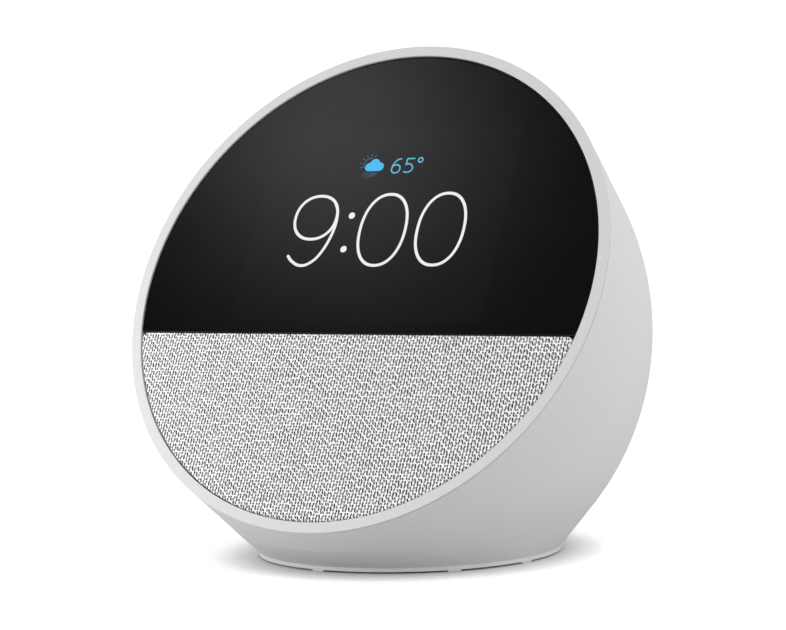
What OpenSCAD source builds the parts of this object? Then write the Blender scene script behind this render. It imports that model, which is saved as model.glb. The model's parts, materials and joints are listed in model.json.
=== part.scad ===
// Small round-faced smart display: a tilted disc face on a rounded body that stands on a flat base.
// Millimetres, +Z up. The origin is the centre of the foot pad on the table, and the face looks
// towards -Y. Parts behind the face are drawn in the face frame: X right, Y up the face, Z outward.

/* [Face] */
// Diameter of the bezel ring, which is the overall width
face_d = 113; // [108:0.5:120]
// Lean of the face back from vertical, degrees
face_tilt = 28.5; // [25:0.5:31]
// Height of the face centre above the table
face_z = 59.5; // [58.5:0.5:61]
// Distance of the face centre in front of the base axis
face_setback = 18; // [17:0.5:20]
// Width of the bezel ring's flat band
ring_w = 2.5; // [2:0.1:3]
// Height of the lens's lower edge above the face centre, along the face
split_y = -12.2; // [-13:0.1:-11.5]

/* [Body] */
// Width of the rear bulb at its widest
bulb_w = 104.4; // [100:0.2:108]
// Depth of the rear bulb, front to back
bulb_depth = 116; // [110:0.5:120]
// Height of the full bulb, part of which the base cuts off
bulb_h = 114.8; // [110:0.2:118]
// Height of the bulb's centre above the table
bulb_z = 47.5; // [46:0.5:49]
// Wall thickness of the rear shell
wall = 2.2; // [1.8:0.1:2.4]

/* [Base] */
// Diameter of the base rim
base_d = 65.6; // [64:0.2:68]
// Height of the rim above the table
rim_gap = 0.4; // [0.3:0.1:0.6]
// Height of the rim band
rim_h = 0.8; // [0.6:0.1:1]
// Diameter of the rubber foot pad
pad_d = 61.2; // [58:0.2:61.4]

/* [Buttons] */
// Diameter of each button
button_d = 8.9; // [8:0.1:9.5]
// Angle between neighbouring buttons round the face
button_pitch = 17; // [16:0.5:18]
// Depth of the button row behind the face
button_depth = 11; // [10.5:0.1:11.5]
// Travel of a button
button_travel = 0.5; // [0.3:0.1:0.5]

/* [Display and speaker] */
// Width and height of the display panel
panel_size = [62, 47]; // [50:1:64]
// Height of the display panel's centre above the face centre
panel_y = 13.6; // [13:0.1:15]
// Distance of the speaker's axis below the face centre
speaker_drop = 32; // [31.5:0.5:32.5]

/* [Power inlet] */
// Height of the inlet's axis above the table
inlet_z = 14; // [13.5:0.5:15]
// Bore of the inlet collar
inlet_d = 8.6; // [8:0.1:9]
// Bore of the jack's socket
socket_d = 4.2; // [4:0.1:4.4]

/* [Hidden] */
$fn = 64;
eps = 0.01;
big = 200;

face_r = face_d / 2;
face_centre = [0, -face_setback, face_z];
ring_in_r = face_r - ring_w;
seam_z = -0.6;               // front edge of the rear shell, behind the face plane
shell_front_r = face_r - 0.3;
insert_r = ring_in_r - 0.25; // lens, fabric and grille stand clear of the ring
chassis_r = insert_r - 0.05;
chassis_back_r = chassis_r - 0.8; // the shell's wall narrows behind the ring's rebate
rim_top = rim_gap + rim_h;
base_r = base_d / 2;
plug_r = base_r - 3;
bulb_cut_z = 5;              // the bulb runs down to here, then narrows to the base rim

// Face stack, measured outward from the face plane
lens_front = -0.25;
lens_back = -1.35;
tape_back = -1.55;
fabric_front = -0.2;
fabric_back = -0.85;
grille_back = -2.55;
chassis_back = -4.6;
seam_half = 0.1;             // half the gap between the lens and the fabric

panel_back = -3.9;
plate_back = -5.3;
plate_w = 68.8;
plate_h = 50;
board_front = -12;
board_back = -13.6;
board_w = 60;
board_h = 42;
board_y = 14;
stud_pos = [for (x = [-27, 27], y = [-4, 32]) [x, y]];

// Speaker, measured in the face frame
flange_r = 20.4;
mouth_r = 17.2;
flange_back = -6.4;
gasket_back = -5.2;
basket_back = -12.9;
magnet_back = -21.4;
yoke_back = -23.9;
enclosure_back = -33;
enclosure_r = 21.3;
enclosure_floor = 6.4;
ear_pos = [for (a = [-25, 45, 135, 205]) 23.2 * [cos(a), sin(a)]];

// Chassis screws: polar places in the face frame
boss_polar = [[49.5, 40], [49.5, 140], [48.5, -32], [48.5, -148]];
boss_pos = [for (p = boss_polar) p[0] * [cos(p[1]), sin(p[1])]];
base_screw_r = 26.5;
base_screw_angles = [0, 60, 120, 180];
rim_tab_angles = [-96, -44, -12, 84, 136, 168];

// Button row: radii about the face's axis
button_angles = [-button_pitch, 0, button_pitch];
mic_angles = [-button_pitch / 2, button_pitch / 2];
flex_r = 49;
button_top_r = shell_front_r + 0.3;
button_flange_r = 53;
button_stem_r = flex_r + 2.3 + button_travel + 0.1; // clears the switch when pressed

inlet_back_y = 34;
inlet_front_y = 42.2;
jack_back_y = 22;

// ---- Frames and shared shapes ----

// Draws in the face frame
module in_face() {
    translate(face_centre) rotate([90 - face_tilt, 0, 0]) children();
}

// Point of the face frame in the part's own frame
function face_point(p) = face_centre + p[0] * [1, 0, 0]
    + p[1] * [0, sin(face_tilt), cos(face_tilt)] + p[2] * [0, -cos(face_tilt), sin(face_tilt)];

// Draws on a spoke of the button row: Z runs outward and Y away from the front of the face
module on_spoke(angle) {
    in_face() rotate([0, 0, -angle]) translate([0, 0, -button_depth]) rotate([-90, 0, 0]) children();
}

// Disc or ring in the face frame between two depths
module slab(back, front, r, hole_r = 0) {
    translate([0, 0, back]) difference() {
        cylinder(r = r, h = front - back, $fn = 96);
        if (hole_r > 0) translate([0, 0, -1]) cylinder(r = hole_r, h = front - back + 2, $fn = 96);
    }
}

module box_at(centre, size, back, front) {
    translate([centre[0] - size[0] / 2, centre[1] - size[1] / 2, back])
        cube([size[0], size[1], front - back]);
}

// Space the rear shell fills, drawn in by an inset: face disc, rear bulb and base disc blended
module body_space(inset, front, bottom, facets) {
    hull() {
        in_face() translate([0, 0, front]) cylinder(r = shell_front_r - inset, h = eps, $fn = 96);
        intersection() {
            translate([0, 0, bulb_z]) scale([bulb_w / 2 - inset, bulb_depth / 2 - inset, bulb_h / 2 - inset])
                sphere(r = 1, $fn = facets);
            translate([-big / 2, -big / 2, bulb_cut_z]) cube(big);
            in_face() translate([-big / 2, -big / 2, front - big]) cube(big);
        }
        translate([0, 0, bottom]) cylinder(r = base_r - inset, h = eps, $fn = 96);
    }
}

// Round lead along a smooth path through the points
function unit(v) = v / norm(v);
function pick(p, i) = p[min(max(i, 0), len(p) - 1)];
function curve_point(a, b, c, d, t) =
    0.5 * (2 * b + (c - a) * t + (2 * a - 5 * b + 4 * c - d) * t * t + (3 * b - a - 3 * c + d) * t * t * t);
function smooth(p, n) = [
    for (i = [0:len(p) - 2], k = [0:n - 1]) curve_point(pick(p, i - 1), p[i], p[i + 1], pick(p, i + 2), k / n),
    p[len(p) - 1]
];
function tangents(p) = [for (i = [0:len(p) - 1]) unit(pick(p, i + 1) - pick(p, i - 1))];
function side_vectors(t, i, v) = i == len(t) ? []
    : let (w = unit(v - (v * t[i]) * t[i])) concat([w], side_vectors(t, i + 1, w));

module lead(points, r, sides = 8) {
    path = smooth(points, 3);
    t = tangents(path);
    s = side_vectors(t, 0, [0.9, 0.1, 0.3]);
    rings = len(path);
    verts = [
        for (i = [0:rings - 1], k = [0:sides - 1])
            let (a = 360 * k / sides) path[i] + r * (cos(a) * s[i] + sin(a) * cross(t[i], s[i]))
    ];
    walls = [
        for (i = [0:rings - 2], k = [0:sides - 1])
            let (n = (k + 1) % sides) [i * sides + k, i * sides + n, (i + 1) * sides + n, (i + 1) * sides + k]
    ];
    first = [for (k = [sides - 1:-1:0]) k];
    last = [for (k = [0:sides - 1]) (rings - 1) * sides + k];
    polyhedron(points = verts, faces = [for (f = concat(walls, [first, last])) [for (k = [len(f) - 1:-1:0]) f[k]]]);
}

// Pan-head screw with its head's underside at z = 0 and the shank along -Z
module screw(head_r, head_h, shank_r, shank_l) {
    difference() {
        union() {
            cylinder(r = head_r, h = head_h, $fn = 24);
            translate([0, 0, -shank_l]) cylinder(r = shank_r, h = shank_l + eps, $fn = 24);
        }
        translate([0, 0, head_h * 0.45]) {
            for (a = [0, 90]) rotate([0, 0, a]) translate([-head_r * 0.6, -head_r * 0.14, 0])
                cube([head_r * 1.2, head_r * 0.28, head_h]);
        }
    }
}

// ---- Housing ----

module rear_shell() color([0.86, 0.86, 0.87]) {
    difference() {
        union() {
            difference() {
                body_space(0, seam_z - eps, rim_top, 72);
                body_space(wall, seam_z + 0.5, rim_top - 0.5, 56);
            }
            intersection() {
                union() {
                    shell_bosses();
                    translate([0, inlet_back_y + 1.4, inlet_z]) rotate([-90, 0, 0]) cylinder(r = 7.4, h = 14);
                }
                body_space(wall / 2, seam_z - 1, rim_top + 1, 32);
            }
        }
        shell_cuts();
    }
}

module shell_bosses() {
    in_face() for (p = boss_polar) rotate([0, 0, p[1]]) {
        translate([p[0], 0, -14]) cylinder(r = 3, h = 14 + chassis_back - 0.05);
        translate([p[0], -1, -14]) cube([8, 2, 14 + chassis_back - 0.05]);
    }
    for (a = base_screw_angles) rotate([0, 0, a]) {
        translate([base_screw_r, 0, 3.25]) cylinder(r = 3, h = 8);
        translate([base_screw_r, -1, 3.25]) cube([12, 2, 8]);
    }
}

module shell_cuts() {
    in_face() {
        // Rebate for the ring's leg, then pilot holes for the chassis screws
        slab(-2.6, 1, shell_front_r - 1.3);
        for (p = boss_pos) translate([p[0], p[1], -12.5]) cylinder(r = 1.1, h = 9);
    }
    for (a = button_angles) on_spoke(a) translate([0, 0, 40]) cylinder(r = button_d / 2 + 0.3, h = 30);
    for (a = mic_angles) on_spoke(a) {
        translate([0, 0, 40]) cylinder(r = 0.6, h = 30, $fn = 32);
    }
    translate([0, 30, inlet_z]) rotate([-90, 0, 0]) cylinder(r = 5.7, h = 30);
    for (a = base_screw_angles) rotate([0, 0, a]) translate([base_screw_r, 0, 2]) cylinder(r = 1.1, h = 7.5);
}

module bezel_ring() color([0.9, 0.9, 0.91]) {
    in_face() rotate_extrude($fn = 128) polygon([
        [ring_in_r + 0.05, -2.4], [ring_in_r + 0.75, -2.4], [ring_in_r + 0.75, -0.5], [face_r - 0.3, -0.5],
        [face_r, -0.3], [face_r, -0.15], [face_r - 0.15, 0], [ring_in_r + 0.25, 0], [ring_in_r, -0.2],
        [ring_in_r, -0.5], [ring_in_r + 0.05, -0.55]
    ]);
}

module base_plate() color([0.84, 0.84, 0.85]) {
    difference() {
        union() {
            translate([0, 0, rim_gap]) cylinder(r = base_r, h = rim_h, $fn = 128);
            translate([0, 0, rim_gap]) cylinder(r = plug_r, h = 2.8, $fn = 128);
            for (a = rim_tab_angles) rotate([0, 0, a - 2.5]) translate([0, 0, 0.05])
                rotate_extrude(angle = 5) translate([base_r - 1.5, 0]) square([1.4, rim_gap]);
            // Cradle for the power jack
            translate([-5.5, 23, 3]) cube([11, 6, inlet_z - 4.5 - 3]);
        }
        translate([0, 0, -1]) cylinder(r = pad_d / 2 + 0.2, h = 1.9, $fn = 128);
        for (a = base_screw_angles) rotate([0, 0, a]) translate([base_screw_r, 0, 0]) {
            cylinder(r = 1.3, h = 5);
            cylinder(r = 2.3, h = 2.1);
        }
    }
}

module base_screws() color([0.35, 0.35, 0.37]) {
    for (a = base_screw_angles) rotate([0, 0, a]) translate([base_screw_r, 0, 2.1]) rotate([180, 0, 0])
        screw(2, 1, 1, 6.4);
}

module ballast_disc() color([0.55, 0.56, 0.58]) {
    translate([0, 0, 3.2]) difference() {
        cylinder(r = 22.4, h = 3, $fn = 96);
        translate([0, 0, -1]) cylinder(r = 3, h = 5);
    }
}

module foot_pad() color([0.12, 0.12, 0.13]) {
    difference() {
        cylinder(r = pad_d / 2, h = 0.9, $fn = 128);
        // Shallow ring groove that gives the pad its grip
        translate([0, 0, -eps]) difference() {
            cylinder(r = 26, h = 0.3, $fn = 96);
            translate([0, 0, -1]) cylinder(r = 22, h = 3, $fn = 96);
        }
    }
}

// ---- Face: lens, display, grille ----

// Part of a disc above the split line (side = 1) or below it (side = -1)
module face_segment(back, front, side) {
    intersection() {
        slab(back, front, insert_r);
        translate([-big / 2, side > 0 ? split_y + seam_half : split_y - seam_half - big, back - 1])
            cube([big, big, front - back + 2]);
    }
}

module front_lens() color([0.03, 0.03, 0.035]) {
    in_face() face_segment(lens_back, lens_front, 1);
}

module lens_tape() color([0.08, 0.08, 0.09]) {
    in_face() difference() {
        face_segment(tape_back, lens_back, 1);
        box_at([0, panel_y], panel_size + [0.6, 0.6], tape_back - 1, lens_back + 1);
    }
}

module display_panel() color([0.16, 0.17, 0.19]) {
    in_face() {
        box_at([0, panel_y], panel_size, panel_back, -2.2);
        box_at([0, panel_y], panel_size - [1.2, 1.2], -2.2 - eps, lens_back - 0.05);
    }
}

module display_backplate() color([0.62, 0.63, 0.65]) {
    in_face() difference() {
        union() {
            box_at([0, panel_y], [plate_w, plate_h], plate_back, chassis_back);
            for (p = stud_pos) translate([p[0], p[1], board_front]) cylinder(r = 2.2, h = plate_back - board_front + eps);
        }
        for (p = stud_pos) translate([p[0], p[1], board_front - 1]) cylinder(r = 1.1, h = 6);
        for (p = plate_screw_pos()) translate([p[0], p[1], plate_back - 1]) cylinder(r = 1, h = 3);
        box_at([0, -6], [16, 2], plate_back - 1, chassis_back + 1);
    }
}

function plate_screw_pos() = [for (x = [-33, 33], y = [2, 24]) [x, y]];

module backplate_screws() color([0.35, 0.35, 0.37]) {
    in_face() for (p = plate_screw_pos()) translate([p[0], p[1], plate_back]) rotate([180, 0, 0])
        screw(1.3, 0.8, 0.75, 1.8);
}

module display_flex() color([0.85, 0.5, 0.15]) {
    bend_r = 0.7;
    in_face() {
        box_at([0, -6.1], [13, 0.2], board_front + bend_r + 0.2, panel_back);
        translate([-6.5, -6 + bend_r, board_front + bend_r + 0.2]) rotate([90, 0, 90])
            rotate([0, 0, 180]) rotate_extrude(angle = 90) translate([bend_r, 0]) square([0.2, 13]);
        box_at([0, -3.8], [13, 3], board_front, board_front + 0.2);
    }
}

module front_chassis() color([0.2, 0.2, 0.21]) {
    in_face() difference() {
        union() {
            slab(chassis_back, grille_back, chassis_back_r);
            intersection() {
                slab(grille_back - eps, tape_back, chassis_r);
                translate([-big / 2, split_y + seam_half, -big / 2]) cube(big);
            }
        }
        box_at([0, panel_y], panel_size + [0.6, 0.6], chassis_back - 1, 0);
        translate([0, -speaker_drop, chassis_back - 1]) cylinder(r = mouth_r, h = 6, $fn = 96);
        for (p = boss_pos) translate([p[0], p[1], 0]) {
            translate([0, 0, chassis_back - 1]) cylinder(r = 1.3, h = 6);
            translate([0, 0, -3.75]) cylinder(r = 2.3, h = 5);
        }
        for (p = plate_screw_pos()) translate([p[0], p[1], chassis_back - 1]) cylinder(r = 0.85, h = 2.3, $fn = 32);
        for (p = ear_pos) translate([p[0], p[1] - speaker_drop, chassis_back - 1]) cylinder(r = 0.85, h = 2.3, $fn = 32);
    }
}

module chassis_screws() color([0.35, 0.35, 0.37]) {
    in_face() for (p = boss_pos) translate([p[0], p[1], -3.75]) screw(2, 1, 1, 8);
}

// Perforated carrier under the fabric: holes in a hexagonal grid over the speaker's mouth
module grille_frame() color([0.3, 0.3, 0.31]) {
    pitch = 4.2;
    rows = 4;
    in_face() difference() {
        face_segment(grille_back, fabric_back, -1);
        for (j = [-rows:rows], i = [-rows:rows]) {
            x = (i + (j % 2 == 0 ? 0 : 0.5)) * pitch;
            y = j * pitch * sqrt(3) / 2;
            if (norm([x, y]) < mouth_r - 1.8)
                translate([x, y - speaker_drop, grille_back - 1]) cylinder(r = 1.4, h = 4, $fn = 24);
        }
    }
}

module grille_fabric() color([0.72, 0.72, 0.72]) {
    in_face() face_segment(fabric_back, fabric_front, -1);
}

// ---- Speaker ----

module on_speaker() {
    in_face() translate([0, -speaker_drop, 0]) children();
}

module speaker_gasket() color([0.1, 0.1, 0.1]) {
    on_speaker() slab(gasket_back, chassis_back, flange_r - 0.2, mouth_r + 0.6);
}

module speaker_basket() color([0.25, 0.25, 0.27]) {
    on_speaker() difference() {
        union() {
            rotate_extrude($fn = 96) polygon([
                [18.7, gasket_back], [flange_r, gasket_back], [flange_r, flange_back], [18.9, flange_back],
                [14, -12], [14, basket_back], [8.6, basket_back], [8.6, -12], [13.2, -12],
                [17.6, flange_back], [17.6, -6], [18.7, -6]
            ]);
            for (p = ear_pos) translate([p[0], p[1], flange_back]) cylinder(r = 2.8, h = gasket_back - flange_back);
        }
        translate([0, 0, -6]) cylinder(r = 18.7, h = 3, $fn = 96);
        for (p = ear_pos) translate([p[0], p[1], flange_back - 1]) cylinder(r = 1, h = 4, $fn = 32);
        for (a = [0:60:300]) rotate([0, 0, a]) translate([16, 0, -9.4]) rotate([0, -48, 0])
            cylinder(r = 2.1, h = 8, center = true);
    }
}

module speaker_surround() color([0.08, 0.08, 0.08]) {
    roll_c = 16.3;
    roll_r = 1.5;
    skin = 0.4;
    on_speaker() rotate_extrude($fn = 96) {
        translate([roll_c + roll_r - skin, -6]) square([0.8 + skin, skin]);
        translate([roll_c, -6]) intersection() {
            difference() {
                circle(r = roll_r, $fn = 32);
                circle(r = roll_r - skin, $fn = 32);
            }
            translate([-roll_r, 0]) square([2 * roll_r, roll_r]);
        }
    }
}

module speaker_cone() color([0.15, 0.15, 0.16]) {
    on_speaker() {
        rotate_extrude($fn = 96) polygon([
            [14.5, -5.7], [14.5, -6.1], [13.6, -6.1], [6.8, -10.7], [6.1, -10.7], [6.1, -10], [6.6, -10], [13.3, -5.7]
        ]);
        // Dust cap
        cap_r = 9;
        cap_z = -9.9 - sqrt(cap_r * cap_r - 6.6 * 6.6);
        intersection() {
            translate([0, 0, cap_z]) difference() {
                sphere(r = cap_r, $fn = 64);
                sphere(r = cap_r - 0.4, $fn = 64);
            }
            slab(-10.1, -5, 6.6);
        }
    }
}

module voice_coil() color([0.72, 0.43, 0.2]) {
    on_speaker() slab(-17, -10.7, 6.7, 6.2);
}

module speaker_spider() color([0.75, 0.6, 0.35]) {
    on_speaker() {
        slab(-12, -11.3, 13, 12.2);
        slab(-11.7, -11.3, 12.2 + eps, 6.95);
        for (r = [8, 9.6, 11.2]) slab(-11.3 - eps, -11.1, r + 0.4, r - 0.4);
    }
}

module speaker_top_plate() color([0.6, 0.6, 0.62]) {
    on_speaker() slab(basket_back - 2.5, basket_back, 12.6, 7.1);
}

module speaker_magnet() color([0.28, 0.28, 0.3]) {
    on_speaker() slab(magnet_back, basket_back - 2.5, 12.2, 8.4);
}

module speaker_yoke() color([0.6, 0.6, 0.62]) {
    on_speaker() {
        slab(yoke_back, magnet_back, 12.6);
        slab(magnet_back - eps, -13.2, 5.8);
    }
}

module enclosure_space(r, back, floor_z) {
    intersection() {
        on_speaker() slab(back, flange_back, r);
        translate([-big / 2, -big / 2, floor_z]) cube(big);
    }
}

module speaker_enclosure() color([0.13, 0.13, 0.14]) {
    difference() {
        union() {
            enclosure_space(enclosure_r, enclosure_back, enclosure_floor);
            on_speaker() for (p = ear_pos) translate([p[0], p[1], flange_back - 2]) cylinder(r = 2.8, h = 2);
        }
        difference() {
            enclosure_space(enclosure_r - 1.3, enclosure_back + 1.3, enclosure_floor + 1.3);
            on_speaker() for (p = ear_pos) translate([p[0], p[1], flange_back - 2]) cylinder(r = 2.8, h = 3);
        }
        on_speaker() {
            slab(flange_back - 0.5, flange_back + 1, 18.9);
            for (p = ear_pos) translate([p[0], p[1], flange_back - 3]) cylinder(r = 1, h = 4, $fn = 32);
        }
    }
}

module speaker_screws() color([0.35, 0.35, 0.37]) {
    on_speaker() for (p = ear_pos) translate([p[0], p[1], flange_back - 2]) rotate([180, 0, 0])
        screw(1.6, 0.9, 0.75, 5);
}

// Pair of leads from the main board to the top of the speaker enclosure
module speaker_leads() color([0.6, 0.1, 0.1]) {
    lead_r = 0.55;
    start_z = board_back - 3.05;
    for (x = [-14.8, -13.2]) {
        end_y = sqrt(pow(enclosure_r, 2) - pow(abs(x) - lead_r, 2)) - speaker_drop + 0.1;
        lead([
            face_point([x, -3, start_z]), face_point([x, -3, start_z - 2]), face_point([x, -5, start_z - 5]),
            face_point([x, -9, start_z - 7]), face_point([x, end_y + 2, start_z - 7.5]),
            face_point([x, end_y, start_z - 7.5])
        ], lead_r);
    }
}

// ---- Electronics ----

module main_board() color([0.05, 0.3, 0.16]) {
    in_face() difference() {
        box_at([0, board_y], [board_w, board_h], board_back, board_front);
        for (p = stud_pos) translate([p[0], p[1], board_back - 1]) cylinder(r = 1.15, h = 4, $fn = 32);
    }
}

module board_connectors() color([0.88, 0.85, 0.76]) {
    in_face() {
        box_at([0, -3.4], [15, 2.6], board_front + 0.2, board_front + 1.1);
        box_at([-14, -3], [6, 4], board_back - 3, board_back);
        box_at([14, -3], [6, 4], board_back - 3, board_back);
        box_at([0, 32.5], [10, 3], board_back - 1.4, board_back);
        // Two small parts on the back of the board
        box_at([18, 24], [7, 7], board_back - 1.1, board_back);
        box_at([18, 12], [5, 4], board_back - 1.3, board_back);
    }
}

module board_screws() color([0.35, 0.35, 0.37]) {
    in_face() for (p = stud_pos) translate([p[0], p[1], board_back]) rotate([180, 0, 0]) screw(1.9, 1, 1, 5);
}

module shield_can() color([0.75, 0.76, 0.78]) {
    in_face() difference() {
        box_at([-8, 14], [26, 22], board_back - 2.4, board_back);
        box_at([-8, 14], [25.4, 21.4], board_back - 2.1, board_back + 1);
    }
}

module thermal_pad() color([0.55, 0.65, 0.75]) {
    in_face() box_at([-8, 14], [22, 18], board_back - 3.4, board_back - 2.4);
}

module heat_spreader() color([0.8, 0.81, 0.83]) {
    in_face() {
        box_at([-6, 14], [40, 28], board_back - 4.6, board_back - 3.4);
        for (i = [-4:4]) box_at([-6 + 4.5 * i, 14], [1, 26], board_back - 7.6, board_back - 4.6 + eps);
    }
}

module wifi_antennas() color([0.1, 0.32, 0.2]) {
    in_face() for (s = [-1, 1]) box_at([s * 43, 8], [6, 18], chassis_back - 0.8, chassis_back);
}

// ---- Button row and microphones ----

// Curved strip about the face's axis, from one radius to another and centred on the top
module top_arc(r_in, r_out, back, front, half_angle) {
    in_face() translate([0, 0, back]) rotate([0, 0, 90 - half_angle])
        rotate_extrude(angle = 2 * half_angle, $fn = 128) translate([r_in, 0]) square([r_out - r_in, front - back]);
}

module button_bracket() color([0.18, 0.18, 0.19]) {
    top_arc(flex_r - 1.4, flex_r, -17, chassis_back, 30);
}

module button_flex() color([0.85, 0.5, 0.15]) {
    top_arc(flex_r, flex_r + 0.25, -15.5, -6.5, 27);
}

module tact_switches() color([0.82, 0.8, 0.72]) {
    for (a = button_angles) on_spoke(a) {
        translate([-2.25, -2.25, flex_r + 0.32]) cube([4.5, 4.5, 1.4]);
        translate([0, 0, flex_r + 1.7]) cylinder(r = 1.1, h = 0.6, $fn = 32);
    }
}

module microphones() color([0.8, 0.7, 0.4]) {
    for (a = mic_angles) on_spoke(a) translate([-1.3, -1.75, flex_r + 0.3]) cube([2.6, 3.5, 1]);
}

module microphone_gaskets() color([0.1, 0.1, 0.1]) {
    for (a = mic_angles) on_spoke(a) translate([0, 0, flex_r + 1.35]) difference() {
        cylinder(r = 1.6, h = 2.9, $fn = 32);
        translate([0, 0, -1]) cylinder(r = 0.7, h = 6, $fn = 32);
    }
}

// One button: a domed cap with a flange behind the shell and a stem over its switch
module button(angle) {
    cap_r = button_d / 2;
    on_spoke(angle) rotate_extrude($fn = 64) polygon([
        [0, button_stem_r], [1.2, button_stem_r], [1.2, button_flange_r - 0.7], [cap_r + 0.9, button_flange_r - 0.7],
        [cap_r + 0.9, button_flange_r], [cap_r, button_flange_r], [cap_r, button_top_r - 0.5],
        [cap_r - 0.12, button_top_r - 0.22], [cap_r - 0.4, button_top_r - 0.05], [cap_r - 0.9, button_top_r],
        [0, button_top_r]
    ]);
}

module volume_down_button() color([0.88, 0.88, 0.89]) {
    button(button_angles[0]);
}

module mic_off_button() color([0.88, 0.88, 0.89]) {
    button(button_angles[1]);
}

module volume_up_button() color([0.88, 0.88, 0.89]) {
    button(button_angles[2]);
}

// ---- Power inlet ----

module power_jack() color([0.1, 0.1, 0.11]) {
    difference() {
        translate([-4.5, jack_back_y, inlet_z - 4.5]) cube([9, inlet_back_y - jack_back_y, 9]);
        translate([0, inlet_back_y - 10, inlet_z]) rotate([-90, 0, 0]) cylinder(r = socket_d / 2, h = 20);
    }
}

module jack_pin() color([0.85, 0.7, 0.4]) {
    translate([0, inlet_back_y - 10, inlet_z]) rotate([-90, 0, 0]) cylinder(r = 0.75, h = 8, $fn = 32);
}

module inlet_collar() color([0.15, 0.15, 0.16]) {
    translate([0, 0, inlet_z]) rotate([-90, 0, 0]) difference() {
        union() {
            translate([0, 0, inlet_back_y]) cylinder(r = 5.5, h = inlet_front_y - inlet_back_y);
            translate([0, 0, inlet_back_y]) cylinder(r = 7, h = 1.3);
        }
        translate([0, 0, inlet_back_y - 1]) cylinder(r = inlet_d / 2, h = 20);
    }
}

module power_lead() color([0.12, 0.12, 0.13]) {
    lead([
        [0, jack_back_y - 0.2, inlet_z], [0, jack_back_y - 3.5, inlet_z], [2, 15, 20], [6, 13, 28], [10, 11, 36],
        [13, 6, 44], face_point([14, -3, board_back - 6]), face_point([14, -3, board_back - 3.15])
    ], 1.1);
}

rear_shell();
bezel_ring();
front_lens();
lens_tape();
display_panel();
display_backplate();
backplate_screws();
display_flex();
front_chassis();
chassis_screws();
grille_frame();
grille_fabric();
speaker_gasket();
speaker_basket();
speaker_surround();
speaker_cone();
voice_coil();
speaker_spider();
speaker_top_plate();
speaker_magnet();
speaker_yoke();
speaker_enclosure();
speaker_screws();
speaker_leads();
main_board();
board_connectors();
board_screws();
shield_can();
thermal_pad();
heat_spreader();
wifi_antennas();
button_bracket();
button_flex();
tact_switches();
microphones();
microphone_gaskets();
volume_down_button();
mic_off_button();
volume_up_button();
power_jack();
jack_pin();
inlet_collar();
power_lead();
base_plate();
base_screws();
ballast_disc();
foot_pad();
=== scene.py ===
"""Looks for the small round smart display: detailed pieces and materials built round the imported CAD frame."""

import json
import math

import bmesh
import bpy
import numpy as np
from mathutils import Matrix, Vector
from mathutils.bvhtree import BVHTree


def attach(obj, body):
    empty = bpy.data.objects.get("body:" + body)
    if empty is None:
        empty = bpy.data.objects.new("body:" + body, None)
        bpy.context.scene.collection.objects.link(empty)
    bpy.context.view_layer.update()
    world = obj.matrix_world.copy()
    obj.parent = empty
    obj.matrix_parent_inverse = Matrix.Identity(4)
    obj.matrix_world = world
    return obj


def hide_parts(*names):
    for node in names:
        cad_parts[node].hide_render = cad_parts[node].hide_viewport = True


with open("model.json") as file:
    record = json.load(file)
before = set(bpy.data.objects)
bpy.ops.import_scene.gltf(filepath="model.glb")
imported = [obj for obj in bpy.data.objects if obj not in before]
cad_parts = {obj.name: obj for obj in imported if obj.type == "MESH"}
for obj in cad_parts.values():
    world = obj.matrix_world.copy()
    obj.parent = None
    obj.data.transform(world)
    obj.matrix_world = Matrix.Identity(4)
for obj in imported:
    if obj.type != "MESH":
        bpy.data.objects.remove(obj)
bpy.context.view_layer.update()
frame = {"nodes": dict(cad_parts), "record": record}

MM = 0.001

# ---- Sizes in millimetres: the CAD's, with small changes at the ring, its seams and the buttons ----

TILT = math.radians(28.5)
FACE_CENTRE = Vector((0, -18, 59.5))
UP = Vector((0, math.sin(TILT), math.cos(TILT)))
OUT = Vector((0, -math.cos(TILT), math.sin(TILT)))

RING_OUT_R = 56.5
RING_IN_R = 54.15
RING_SLEEVE = 0.75
RING_BACK = -2.4
RING_UNDER = -0.28
SHELL_FRONT_R = 56.5
SHELL_FRONT_Z = -0.45
WALL = 2.2
REBATE_WALL = 1.3
REBATE_DEPTH = 2.7
INSERT_R = 53.92
SPLIT_Y = -12.2
SEAM_HALF = 0.1
LENS_FRONT = -0.25
LENS_BACK = -1.35
FABRIC_FRONT = -0.2
FABRIC_BACK = -0.85
FLAT_MARGIN = 0.25
SMALLEST_CORNER = 0.02

BULB_HALF = Vector((52.2, 58.0, 57.4))
BULB_Z = 47.5
BULB_CUT_Z = 5.0
BASE_R = 32.8
RIM_TOP = 1.2

BUTTON_R = 4.45
BUTTON_ANGLES = {"volume_down": -17.0, "mic_off": 0.0, "volume_up": 17.0}
MIC_ANGLES = (-8.5, 8.5)
BUTTON_DEPTH = 11.0
BUTTON_STEM_R = 51.9
BUTTON_FLANGE_R = 53.0
BUTTON_TOP_R = 56.6
BUTTON_GAP = 0.3
MIC_HOLE_R = 0.6
INLET_Z = 14.0
INLET_HOLE_R = 5.7
CUT_FROM, CUT_TO = 48, 62

FACE = Matrix.Translation(FACE_CENTRE * MM) @ Matrix((
    (1, UP.x, OUT.x, 0), (0, UP.y, OUT.y, 0), (0, UP.z, OUT.z, 0), (0, 0, 0, 1)))
WORLD = Matrix.Identity(4)


def spoke(angle):
    """Frame of the button row at one angle: Z runs outward and Y away from the front of the face."""
    turn = Matrix.Rotation(-math.radians(angle), 4, "Z")
    back = Matrix.Translation((0, 0, -BUTTON_DEPTH * MM))
    return FACE @ turn @ back @ Matrix.Rotation(-math.pi / 2, 4, "X")


# ---- Mesh helpers ----

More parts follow.
